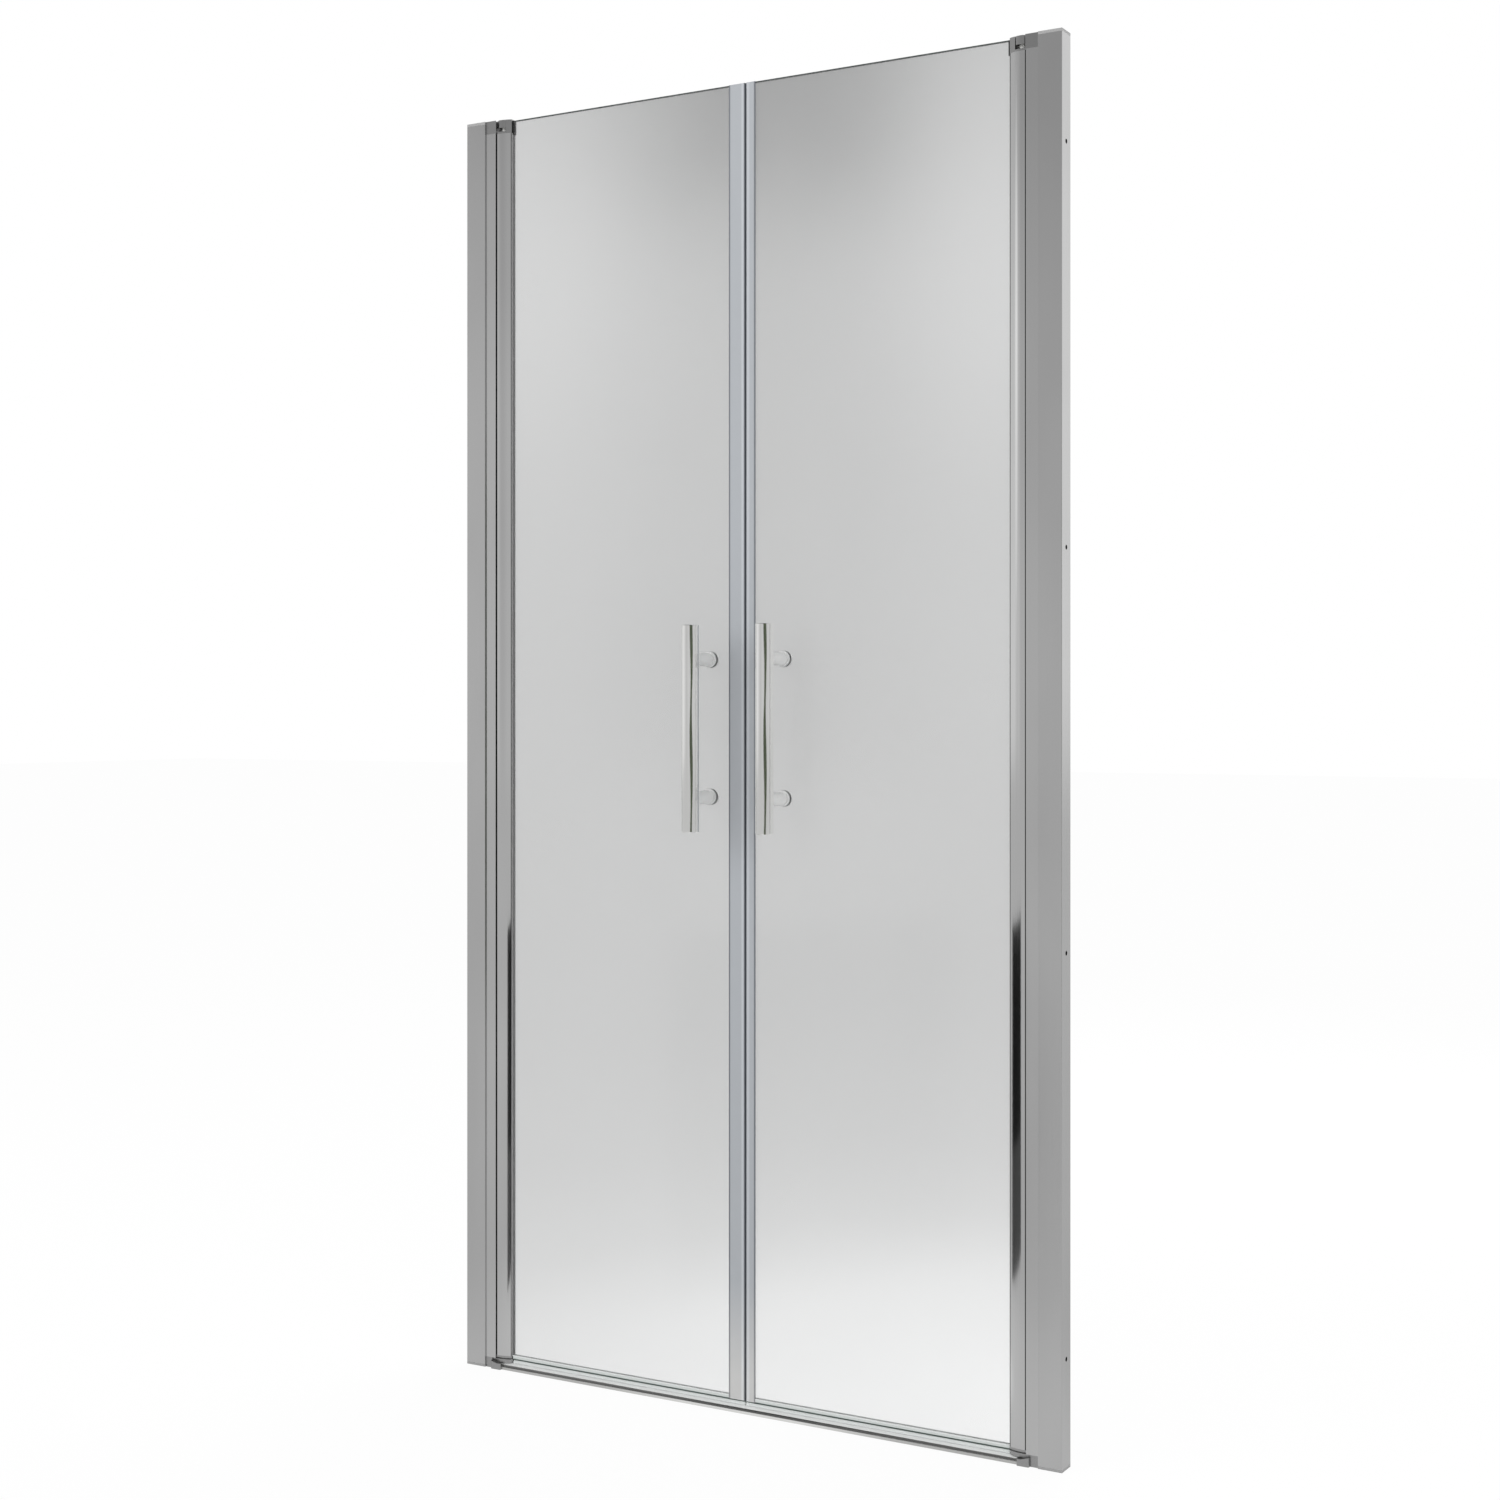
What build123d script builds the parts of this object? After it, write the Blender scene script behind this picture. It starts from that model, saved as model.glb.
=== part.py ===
from build123d import *
import math
import os

# Double swing shower door for a niche: two glass leaves, each turning on a full height profile.
# Origin: middle of the sill's underside, in the glass mid-plane. X runs along the door,
# -Y is the outside with the bar handles, +Z is up. Millimetres.
# Every sub-part is drawn for the right half. The left half is its mirror image, except that the
# seals on the left leaf's meeting edge have a longer front leg.

os.makedirs("parts", exist_ok=True)

# Overall sizes
door_w = 1000.0
door_h = 1950.0

# Wall channel
channel_leg = 35.0
channel_wall = 2.2
channel_half = 15.5
channel_round = 0.8
channel_cap_t = 4.0
channel_plug_h = 12.0
wall_hole_d = 6.5
wall_hole_low = 150.0
wall_hole_mid = 700.0
mouth_cut = 1.0

# Hinge post, which slides in the wall channel
post_fit = 0.3
post_show = 19.5
post_in_channel = 22.0
post_wall = 2.2
post_rib = 2.0
post_round = 0.4
port_wall = 1.6

# Pivot axis and running clearances
axis_in = 8.5
swing_gap = 0.35
face_gap = 0.3
pin_d = 6.0
pin_fit = 0.05
pin_press = 0.01
pin_top_cover = 1.0
pin_tip = 0.5
pin_in_leaf = 22.0

# Turning profile that holds the glass
profile_rear_half = 11.0
profile_peak_half = 11.45
profile_peak_in = 4.0
profile_lip_half = 6.5
profile_reach = 17.0
profile_bore_d = 12.0
groove_floor = 8.6
port_d = 3.8
port_in = 7.5
port_half = 7.8
profile_bore_wall = 1.8
rear_chamber_half = 3.2
lip_round = 0.5

# Pivot blocks
block_top_h = 20.0
block_low_h = 16.0
arm_t = 12.0
arm_nose_r = 11.8
arm_neck_half = 7.0
arm_low_z = 9.9
arm_low_t = 5.6
plate_nose_r = 17.4
tenon_h = 18.0
tenon_fit = 0.3
block_screw_d = 4.0
block_screw_y = 6.0
block_screw_head = 8.0
head_fit = 0.2
block_hex = 2.5
block_hex_deep = 1.6
screw_tip_room = 2.0

# Leaf ends
top_gap = 6.0
leaf_foot_t = 3.0
thrust_t = 2.0
thrust_play = 0.1
slit = 0.8
lid_t = 1.2
cap_head_d = 5.8
cap_screw_len = 14.0
thread_fit = 0.1
collar_d = 10.0
washer_d = 12.0

# Sill rail under the leaves
sill_half = 14.0
sill_h = 9.4
sill_face = 4.0
sill_slope = 3.2
sill_ramp = 1.8
sill_flat_half = 3.6
sill_shoulder_r = 7.0
sill_wall = 1.6
sill_cap_reach = 3.0
sill_cap_half = 18.0
sill_cap_h = 12.9
sill_cap_flat = 7.0
sill_cap_round = 2.5

# Glass and seals
glass_t = 6.0
glass_bottom = 17.7
glass_meet = 9.8
glass_arris = 0.5
glass_fit = 0.4
gasket_t = 1.1
gasket_show = 0.8
gasket_rim = 0.7
lip_fit = 0.1
seal_gap = 0.5
seal_corner = 2.6
seal_leg_t = 1.4
seal_leg_left = 28.0
seal_leg_right = 16.5
seal_leg_rear = 12.0
seal_fit = 0.15
magnet_w = 4.6
magnet_h = 5.4
magnet_end = 2.0
seal_skin = 1.1
drip_leg_top = 22.0
drip_web_t = 1.1
drip_fin_y = 4.2
drip_fin_t = 1.2
drip_clear = 0.5
drip_fin_root = 0.4
drip_fin_tip = 0.8
drip_fin_start = 1.0

# Bar handles
bar_d = 27.0
bar_wall = 1.5
bar_len = 302.0
bar_mid_z = 1002.0
bar_y = 57.0
bar_round = 0.6
plug_t = 4.0
stand_x = 62.0
stand_pitch = 203.0
stand_d = 20.0
neck_d = 13.0
neck_len = 3.0
base_d = 23.0
base_t = 2.5
pad_d = 24.0
pad_t = 1.0
saddle_fit = 0.05
handle_screw_d = 6.0
handle_screw_len = 34.0
handle_head_d = 11.0
handle_head_t = 3.5
handle_hex = 4.0
handle_hex_deep = 2.2
rear_cap_t = 5.5
rear_cap_fit = 0.25
rear_cap_edge = 1.2
glass_hole_d = 10.0

# Clamp screws through the inner leg of the wall channel
clamp_end = 120.0
clamp_in = 6.0
clamp_tip = 2.0
clamp_hex = 2.5
clamp_hex_deep = 1.4
clamp_d = 4.0
clamp_head_d = 7.6
clamp_head_t = 2.2
cover_d = 10.6
cover_t = 3.3
cover_fit = 0.15
cover_edge = 0.8
hole_fit = 0.3

# Derived places
half_w = door_w / 2
channel_front = half_w - channel_leg
channel_web = half_w - channel_wall
post_half = channel_half - channel_wall - post_fit
post_front = channel_front - post_show
post_back = channel_front + post_in_channel
axis_x = post_front - axis_in
recess_r = math.hypot(axis_in, post_half)
profile_r = recess_r - swing_gap
cavity_x = axis_x + recess_r + post_wall
rib_x = (cavity_x + post_back - post_wall) / 2
post_top = door_h - block_top_h
arm_top_z = door_h - arm_t
leaf_bottom = arm_low_z + arm_low_t + thrust_t
leaf_top = arm_top_z - top_gap
profile_top = leaf_top - leaf_foot_t
profile_bottom = leaf_bottom + leaf_foot_t
glass_half = glass_t / 2
glass_top = door_h - lid_t - face_gap
groove_half = glass_half + gasket_t + 2 * seal_fit
glass_edge = axis_x - groove_floor - glass_fit
profile_lip_x = axis_x - profile_reach
tooth_r = arm_nose_r + slit
notch_x = axis_x - tooth_r - glass_fit
seal_bottom = glass_bottom - 2 * seal_fit - drip_web_t
leg_in = glass_half + seal_fit
leg_out = leg_in + seal_leg_t
sill_end = axis_x - sill_cap_reach
block_face = axis_x + recess_r + face_gap
ramp_half = sill_half - sill_slope
ramp_z = sill_h - sill_ramp
clamp_x = rib_x + clamp_in
clamp_z = (clamp_end, door_h / 2, door_h - clamp_end)
stand_z = (bar_mid_z - stand_pitch / 2, bar_mid_z + stand_pitch / 2)
pad_front = -(glass_half + pad_t)
port_places = [(axis_x + port_in, port_half), (axis_x + port_in, -port_half)]
screw_places = [(rib_x, block_screw_y), (rib_x, -block_screw_y)]


def write_pair(sub_part, name):
    """Writes the right sub-part and its mirror image as the left one."""
    sub_part.part.label = f"right_{name}"
    export_step(sub_part.part, f"parts/right_{name}.step")
    left = sub_part.part.mirror(Plane.YZ)
    left.label = f"left_{name}"
    export_step(left, f"parts/left_{name}.step")


def write_right(sub_part, name):
    """Writes a sub-part that only the right leaf has in this form."""
    sub_part.part.label = f"right_{name}"
    export_step(sub_part.part, f"parts/right_{name}.step")


def write_left(sub_part, name):
    """Writes the mirror image of a sub-part that only the left leaf has in this form."""
    left = sub_part.part.mirror(Plane.YZ)
    left.label = f"left_{name}"
    export_step(left, f"parts/left_{name}.step")


def box_sketch(x0, x1, y0, y1, mode=Mode.ADD):
    """A rectangle between two corners, in the open sketch."""
    with Locations(((x0 + x1) / 2, (y0 + y1) / 2)):
        Rectangle(abs(x1 - x0), abs(y1 - y0), mode=mode)


def post_outline():
    """Outer section of the hinge post: a box with the round recess that the leaf turns in."""
    box_sketch(post_front, post_back, -post_half, post_half)
    with Locations((axis_x, 0)):
        Circle(recess_r, mode=Mode.SUBTRACT)


def leaf_outline():
    """Outer section of the turning profile: round at the back, crowned faces, two glass lips."""
    back = math.sqrt(profile_r**2 - profile_rear_half**2)
    lower_back = (axis_x + back, -profile_rear_half)
    upper_back = (axis_x + back, profile_rear_half)
    lower_lip = (profile_lip_x, -profile_lip_half)
    upper_lip = (profile_lip_x, profile_lip_half)
    crown_x = axis_x + profile_peak_in
    with BuildLine() as outline:
        ThreePointArc(lower_back, (axis_x + profile_r, 0), upper_back)
        ThreePointArc(upper_back, (crown_x, profile_peak_half), upper_lip)
        Line(upper_lip, lower_lip)
        ThreePointArc(lower_lip, (crown_x, -profile_peak_half), lower_back)
    make_face(outline.edges())


def arm_outline(nose_r, neck_half):
    """Section of a pivot arm: the leaf's outline within a nose radius, and a neck to the post."""
    leaf_outline()
    with Locations((axis_x, 0)):
        Circle(nose_r, mode=Mode.INTERSECT)
    box_sketch(axis_x, cavity_x, -neck_half, neck_half)


def tooth_outline():
    """Section of the upper cap's tooth: the leaf's outline, hollowed round the arm's nose."""
    leaf_outline()
    box_sketch(axis_x, half_w, -channel_half, channel_half, Mode.SUBTRACT)
    with Locations((axis_x, 0)):
        Circle(tooth_r, mode=Mode.SUBTRACT)


def glass_groove():
    """Cuts the groove that the glass edge and its gasket stand in."""
    box_sketch(profile_lip_x - mouth_cut, axis_x - groove_floor, -groove_half, groove_half, Mode.SUBTRACT)


def sill_outline():
    """Section of the sill, in the YZ plane: upright foot, curved shoulder, ramp, flat crest."""
    with BuildLine() as outline:
        Line((-sill_half, 0), (sill_half, 0))
        Line((sill_half, 0), (sill_half, sill_face))
        RadiusArc((sill_half, sill_face), (ramp_half, ramp_z), sill_shoulder_r)
        Line((ramp_half, ramp_z), (sill_flat_half, sill_h))
        Line((sill_flat_half, sill_h), (-sill_flat_half, sill_h))
        Line((-sill_flat_half, sill_h), (-ramp_half, ramp_z))
        RadiusArc((-ramp_half, ramp_z), (-sill_half, sill_face), sill_shoulder_r)
        Line((-sill_half, sill_face), (-sill_half, 0))
    make_face(outline.edges())


def drip_fins(root_z):
    """Section of the two drip lips under a bottom seal, in the YZ plane, from a height down."""
    fin_z = sill_h + drip_clear
    for turn in (-1, 1):
        with BuildLine() as outline:
            Polyline(
                (turn * drip_fin_root, root_z),
                (turn * (drip_fin_root + drip_fin_t), root_z),
                (turn * drip_fin_y, fin_z),
                (turn * (drip_fin_y - drip_fin_tip), fin_z),
                close=True,
            )
        make_face(outline.edges())


# Wall channel: a U extrusion screwed to the wall, open towards the door
with BuildPart() as wall_channel:
    with BuildSketch(Plane.XY.offset(channel_cap_t)):
        box_sketch(channel_front, half_w, -channel_half, channel_half)
        inner_half = channel_half - channel_wall
        box_sketch(channel_front - mouth_cut, channel_web, -inner_half, inner_half, Mode.SUBTRACT)
    extrude(amount=door_h - 2 * channel_cap_t)
    wall_edges = wall_channel.edges().filter_by(Axis.Z).group_by(Axis.X)[-1]
    fillet(wall_edges, channel_round)
    for z in (wall_hole_low, wall_hole_mid, door_h - wall_hole_mid, door_h - wall_hole_low):
        with Locations(Plane(origin=(half_w, 0, z), z_dir=(1, 0, 0))):
            Hole(wall_hole_d / 2, depth=2 * channel_wall)
    for z in clamp_z:
        with Locations(Plane(origin=(clamp_x, channel_half, z), z_dir=(0, 1, 0))):
            Hole((clamp_d + hole_fit) / 2, depth=2 * channel_wall)
write_pair(wall_channel, "wall_channel")

# Cap on the channel's upper end: a U plate with a plug behind the hinge post
with BuildPart() as channel_cap:
    with BuildSketch(Plane.XY.offset(door_h - channel_cap_t)):
        box_sketch(channel_front, half_w, -channel_half, channel_half)
        block_room = post_half + post_fit
        box_sketch(channel_front - mouth_cut, post_back + post_fit, -block_room, block_room, Mode.SUBTRACT)
    extrude(amount=channel_cap_t)
    fillet(channel_cap.edges().filter_by(Axis.Z).group_by(Axis.X)[-1], channel_round)
    with BuildSketch(Plane.XY.offset(door_h - channel_cap_t - channel_plug_h)):
        box_sketch(post_back + post_fit, channel_web - tenon_fit, -post_half, post_half)
    extrude(amount=channel_plug_h)
write_pair(channel_cap, "channel_cap")

# Foot under the channel's lower end, the cap's counterpart
with BuildPart() as channel_foot:
    with BuildSketch(Plane.XY):
        box_sketch(channel_front, half_w, -channel_half, channel_half)
        block_room = post_half + post_fit
        box_sketch(channel_front - mouth_cut, post_back + post_fit, -block_room, block_room, Mode.SUBTRACT)
    extrude(amount=channel_cap_t)
    fillet(channel_foot.edges().filter_by(Axis.Z).group_by(Axis.X)[-1], channel_round)
    with BuildSketch(Plane.XY.offset(channel_cap_t)):
        box_sketch(post_back + post_fit, channel_web - tenon_fit, -post_half, post_half)
    extrude(amount=channel_plug_h)
write_pair(channel_foot, "channel_foot")

# Hinge post: two chamber extrusion with screw ports on the rib and a round recess in front
with BuildPart() as hinge_post:
    with BuildSketch(Plane.XY.offset(block_low_h)):
        post_outline()
        chamber_half = post_half - post_wall
        rib_half = post_rib / 2
        box_sketch(cavity_x, rib_x - rib_half, -chamber_half, chamber_half, Mode.SUBTRACT)
        rear = post_back - post_wall
        box_sketch(rib_x + rib_half, rear, -chamber_half, chamber_half, Mode.SUBTRACT)
        with Locations(*screw_places):
            Circle(block_screw_d / 2 + port_wall)
        with Locations(*screw_places):
            Circle((block_screw_d + hole_fit) / 2, mode=Mode.SUBTRACT)
    extrude(amount=post_top - block_low_h)
    fillet(hinge_post.edges().filter_by(Axis.Z).group_by(Axis.X)[0], post_round)
    for z in clamp_z:
        with Locations(Plane(origin=(clamp_x, post_half, z), z_dir=(0, 1, 0))):
            Hole((clamp_d + hole_fit) / 2, depth=2 * post_wall)
write_pair(hinge_post, "hinge_post")

# Upper pivot block: stands on the post, its arm with a round head reaches over the leaf to the axis
with BuildPart() as upper_block:
    with BuildSketch(Plane.XY.offset(post_top)):
        post_outline()
    extrude(amount=block_top_h)
    with BuildSketch(Plane.XY.offset(arm_top_z)):
        arm_outline(arm_nose_r, arm_neck_half)
    extrude(amount=arm_t)
    with BuildSketch(Plane.XY.offset(post_top - tenon_h)):
        tenon_half = post_half - post_wall - tenon_fit
        port_r = block_screw_d / 2 + port_wall + tenon_fit
        box_sketch(cavity_x + tenon_fit, rib_x - port_r, -tenon_half, tenon_half)
        box_sketch(rib_x + port_r, post_back - post_wall - tenon_fit, -tenon_half, tenon_half)
    extrude(amount=tenon_h)
    with Locations(Location((axis_x, 0, door_h))):
        Hole(pin_d / 2 + pin_press, depth=arm_t)
    with Locations(*[Location((x, y, door_h)) for x, y in screw_places]):
        CounterSinkHole((block_screw_d + hole_fit) / 2, block_screw_head / 2 + head_fit, block_top_h, 90)
write_pair(upper_block, "upper_pivot_block")

# Lower pivot block: carries the post, its foot plate reaches under the leaf's whole profile
with BuildPart() as lower_block:
    with BuildSketch(Plane.XY):
        box_sketch(block_face, post_back, -post_half, post_half)
    extrude(amount=block_low_h)
    with BuildSketch(Plane.XY.offset(arm_low_z)):
        arm_outline(plate_nose_r, profile_rear_half)
    extrude(amount=arm_low_t)
    with BuildSketch(Plane.XY.offset(block_low_h)):
        tenon_half = post_half - post_wall - tenon_fit
        port_r = block_screw_d / 2 + port_wall + tenon_fit
        box_sketch(cavity_x + tenon_fit, rib_x - port_r, -tenon_half, tenon_half)
        box_sketch(rib_x + port_r, post_back - post_wall - tenon_fit, -tenon_half, tenon_half)
    extrude(amount=tenon_h)
    with Locations(Location((axis_x, 0, arm_low_z + arm_low_t))):
        Hole(pin_d / 2 + pin_press, depth=arm_low_t)
    flip = Rotation(180, 0, 0)
    with Locations(*[Location((x, y, 0)) * flip for x, y in screw_places]):
        CounterSinkHole((block_screw_d + hole_fit) / 2, block_screw_head / 2 + head_fit, block_low_h, 90)
write_pair(lower_block, "lower_pivot_block")

# Countersunk screws that hold the blocks to the post's ports
with BuildPart() as block_screws:
    for x, y in screw_places:
        with BuildSketch(Plane(origin=(x, y, door_h), x_dir=(1, 0, 0), z_dir=(0, -1, 0))):
            with BuildLine():
                shank = block_screw_d / 2
                head = block_screw_head / 2
                cone = head - shank
                tip = block_top_h + tenon_h - screw_tip_room
                Polyline((0, 0), (head, 0), (shank, -cone), (shank, -tip), (0, -tip), close=True)
            make_face()
        revolve(axis=Axis((x, y, 0), (0, 0, 1)))
        with BuildSketch(Plane(origin=(x, y, 0), x_dir=(1, 0, 0), z_dir=(0, -1, 0))):
            with BuildLine():
                tip = block_low_h + tenon_h - screw_tip_room
                Polyline((0, 0), (head, 0), (shank, cone), (shank, tip), (0, tip), close=True)
            make_face()
        revolve(axis=Axis((x, y, 0), (0, 0, 1)))
    for z, deep in ((door_h, -block_hex_deep), (0, block_hex_deep)):
        with BuildSketch(Plane.XY.offset(z)):
            with Locations(*screw_places):
                RegularPolygon(block_hex / 2, 6, major_radius=False)
        extrude(amount=deep, mode=Mode.SUBTRACT)
write_pair(block_screws, "block_screws")

# Pivot pins pressed in the arms
with BuildPart() as pivot_pins:
    with BuildSketch(Plane.XY.offset(profile_top - pin_in_leaf)):
        with Locations((axis_x, 0)):
            Circle(pin_d / 2)
    extrude(amount=door_h - pin_top_cover - (profile_top - pin_in_leaf))
    with BuildSketch(Plane.XY.offset(arm_low_z)):
        with Locations((axis_x, 0)):
            Circle(pin_d / 2)
    extrude(amount=profile_bottom + pin_in_leaf - arm_low_z)
    ends = pivot_pins.faces().filter_by(Axis.Z).edges()
    chamfer(ends, pin_tip)
write_pair(pivot_pins, "pivot_pins")

# Collar on the upper pin, between the arm and the leaf
with BuildPart() as pivot_collar:
    with BuildSketch(Plane.XY.offset(leaf_top + face_gap)):
        with Locations((axis_x, 0)):
            Circle(collar_d / 2)
            Circle(pin_d / 2 + pin_fit, mode=Mode.SUBTRACT)
    extrude(amount=top_gap - face_gap)
write_pair(pivot_collar, "pivot_collar")

# Thrust washer on the lower arm, which carries the leaf
with BuildPart() as thrust_washer:
    with BuildSketch(Plane.XY.offset(arm_low_z + arm_low_t)):
        with Locations((axis_x, 0)):
            Circle(washer_d / 2)
            Circle(pin_d / 2 + pin_fit, mode=Mode.SUBTRACT)
    extrude(amount=thrust_t - thrust_play)
write_pair(thrust_washer, "thrust_washer")

# Clamp screws from the inner side through channel leg and post wall
with BuildPart() as clamp_screws:
    for z in clamp_z:
        with BuildSketch(Plane(origin=(clamp_x, channel_half, z), z_dir=(0, 1, 0))):
            Circle(clamp_head_d / 2)
        extrude(amount=clamp_head_t)
        with BuildSketch(Plane(origin=(clamp_x, channel_half, z), z_dir=(0, 1, 0))):
            Circle(clamp_d / 2)
        extrude(amount=-(channel_wall + post_fit + post_wall + clamp_tip))
        with BuildSketch(Plane(origin=(clamp_x, channel_half + clamp_head_t, z), z_dir=(0, 1, 0))):
            RegularPolygon(clamp_hex / 2, 6, major_radius=False)
        extrude(amount=-clamp_hex_deep, mode=Mode.SUBTRACT)
write_pair(clamp_screws, "clamp_screws")

# Snap covers over the clamp screws
with BuildPart() as clamp_covers:
    for z in clamp_z:
        with BuildSketch(Plane(origin=(clamp_x, channel_half, z), z_dir=(0, 1, 0))):
            Circle(cover_d / 2)
        extrude(amount=cover_t)
        with BuildSketch(Plane(origin=(clamp_x, channel_half, z), z_dir=(0, 1, 0))):
            Circle(clamp_head_d / 2 + cover_fit)
        extrude(amount=clamp_head_t + cover_fit, mode=Mode.SUBTRACT)
    outer = clamp_covers.faces().filter_by(Axis.Y).group_by(Axis.Y)[-1].edges()
    chamfer(outer, cover_edge)
write_pair(clamp_covers, "clamp_screw_covers")

# Sill rail: closed extrusion glued to the tray
with BuildPart() as sill_rail:
    with BuildSketch(Plane.YZ.offset(-sill_end)):
        sill_outline()
        room_half = ramp_half - sill_wall
        room_top = ramp_z - sill_wall
        web_half = sill_wall / 2
        for turn in (-1, 1):
            with BuildLine():
                Polyline(
                    (turn * web_half, sill_wall),
                    (turn * room_half, sill_wall),
                    (turn * room_half, room_top),
                    (turn * sill_flat_half, sill_h - sill_wall),
                    (turn * web_half, sill_h - sill_wall),
                    close=True,
                )
            make_face(mode=Mode.SUBTRACT)
    extrude(amount=2 * sill_end)
sill_rail.part.label = "sill_rail"
export_step(sill_rail.part, "parts/sill_rail.step")

# End cap of the sill: wider than the rail, its two cheeks rise beside the foot plate
with BuildPart() as sill_end_cap:
    cap_end = block_face - face_gap
    with BuildSketch(Plane.XY):
        box_sketch(sill_end, cap_end, -sill_cap_half, sill_cap_half)
    extrude(amount=sill_cap_h)
    fillet(sill_end_cap.edges().filter_by(Axis.Z), sill_cap_round)
    with BuildSketch(Plane.XZ.offset(-sill_cap_half)):
        with BuildLine():
            Polyline(
                (sill_end, sill_h),
                (sill_end + sill_cap_flat, sill_h),
                (cap_end, sill_cap_h),
                (sill_end, sill_cap_h),
                close=True,
            )
        make_face()
    extrude(amount=2 * sill_cap_half, mode=Mode.SUBTRACT)
    with BuildSketch(Plane.XY.offset(arm_low_z - face_gap)):
        plate_room = profile_peak_half + face_gap
        box_sketch(sill_end, cap_end, -plate_room, plate_room)
    extrude(amount=sill_cap_h, mode=Mode.SUBTRACT)
write_pair(sill_end_cap, "sill_end_cap")

# Turning profile: glass groove, central bore for the pivots, screw ports, rear chamber
with BuildPart() as leaf_profile:
    with BuildSketch(Plane.XY.offset(profile_bottom)):
        leaf_outline()
        glass_groove()
        with Locations((axis_x, 0)):
            Circle(profile_bore_d / 2, mode=Mode.SUBTRACT)
        with Locations(*port_places):
            Circle(port_d / 2, mode=Mode.SUBTRACT)
        chamber_in = axis_x + profile_bore_d / 2 + profile_bore_wall
        chamber_out = axis_x + profile_r - post_wall
        box_sketch(chamber_in, chamber_out, -rear_chamber_half, rear_chamber_half, Mode.SUBTRACT)
    extrude(amount=profile_top - profile_bottom)
    lips = leaf_profile.edges().filter_by(Axis.Z).group_by(Axis.X)[0]
    fillet(lips, lip_round)
write_pair(leaf_profile, "leaf_profile")

# Upper cap of the turning profile: full foot, and a tooth that turns round the fixed arm's nose
with BuildPart() as leaf_upper_cap:
    with BuildSketch(Plane.XY.offset(profile_top)):
        leaf_outline()
        glass_groove()
    extrude(amount=leaf_foot_t)
    with BuildSketch(Plane.XY.offset(leaf_top)):
        tooth_outline()
        glass_groove()
    extrude(amount=door_h - lid_t - leaf_top)
    with BuildSketch(Plane.XY.offset(door_h - lid_t)):
        tooth_outline()
    extrude(amount=lid_t)
    with Locations(Location((axis_x, 0, leaf_top))):
        Hole(pin_d / 2 + hole_fit, depth=leaf_foot_t)
    with Locations(*[Location((x, y, leaf_top)) for x, y in port_places]):
        CounterSinkHole(port_d / 2, cap_head_d / 2 + head_fit, leaf_foot_t, 90)
write_pair(leaf_upper_cap, "leaf_upper_cap")

# Lower cap of the turning profile, which rides on the thrust washer
with BuildPart() as leaf_lower_cap:
    with BuildSketch(Plane.XY.offset(leaf_bottom)):
        leaf_outline()
        glass_groove()
    extrude(amount=leaf_foot_t)
    with Locations(Location((axis_x, 0, profile_bottom))):
        Hole(pin_d / 2 + hole_fit, depth=leaf_foot_t)
    with Locations(*[Location((x, y, leaf_bottom)) * flip for x, y in port_places]):
        CounterSinkHole(port_d / 2, cap_head_d / 2 + head_fit, leaf_foot_t, 90)
write_pair(leaf_lower_cap, "leaf_lower_cap")

# Countersunk screws of the leaf's caps
with BuildPart() as leaf_cap_screws:
    shank = port_d / 2 - thread_fit
    head = cap_head_d / 2
    tip = cap_screw_len
    for x, y in port_places:
        with BuildSketch(Plane(origin=(x, y, leaf_top), x_dir=(1, 0, 0), z_dir=(0, -1, 0))):
            with BuildLine():
                Polyline((0, 0), (head, 0), (shank, shank - head), (shank, -tip), (0, -tip), close=True)
            make_face()
        revolve(axis=Axis((x, y, 0), (0, 0, 1)))
        with BuildSketch(Plane(origin=(x, y, leaf_bottom), x_dir=(1, 0, 0), z_dir=(0, -1, 0))):
            with BuildLine():
                Polyline((0, 0), (head, 0), (shank, head - shank), (shank, tip), (0, tip), close=True)
            make_face()
        revolve(axis=Axis((x, y, 0), (0, 0, 1)))
write_pair(leaf_cap_screws, "leaf_cap_screws")

# Plastic bushes in the profile's bore, turning on the pins
with BuildPart() as pivot_bushes:
    bush_len = pin_in_leaf - screw_tip_room
    for low in (profile_top - bush_len, profile_bottom):
        with BuildSketch(Plane.XY.offset(low)):
            with Locations((axis_x, 0)):
                Circle(profile_bore_d / 2 - pin_fit)
                Circle(pin_d / 2 + pin_fit, mode=Mode.SUBTRACT)
        extrude(amount=bush_len)
write_pair(pivot_bushes, "pivot_bushes")

# Glass leaf: satin safety glass with ground edges, two holes for the handle and a notched corner
with BuildPart() as glass:
    with BuildSketch(Plane.XY.offset(glass_bottom)):
        box_sketch(glass_meet, glass_edge, -glass_half, glass_half)
    extrude(amount=glass_top - glass_bottom)
    chamfer(glass.edges().filter_by(GeomType.LINE).filter_by(Axis.Y, reverse=True), glass_arris)
    for z in stand_z:
        with Locations(Plane(origin=(stand_x, -glass_half, z), z_dir=(0, -1, 0))):
            Hole(glass_hole_d / 2, depth=glass_t)
    with BuildSketch(Plane.XY.offset(leaf_top)):
        box_sketch(notch_x, glass_edge + mouth_cut, -glass_t, glass_t)
    extrude(amount=door_h - leaf_top, mode=Mode.SUBTRACT)
write_pair(glass, "glass")

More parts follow.
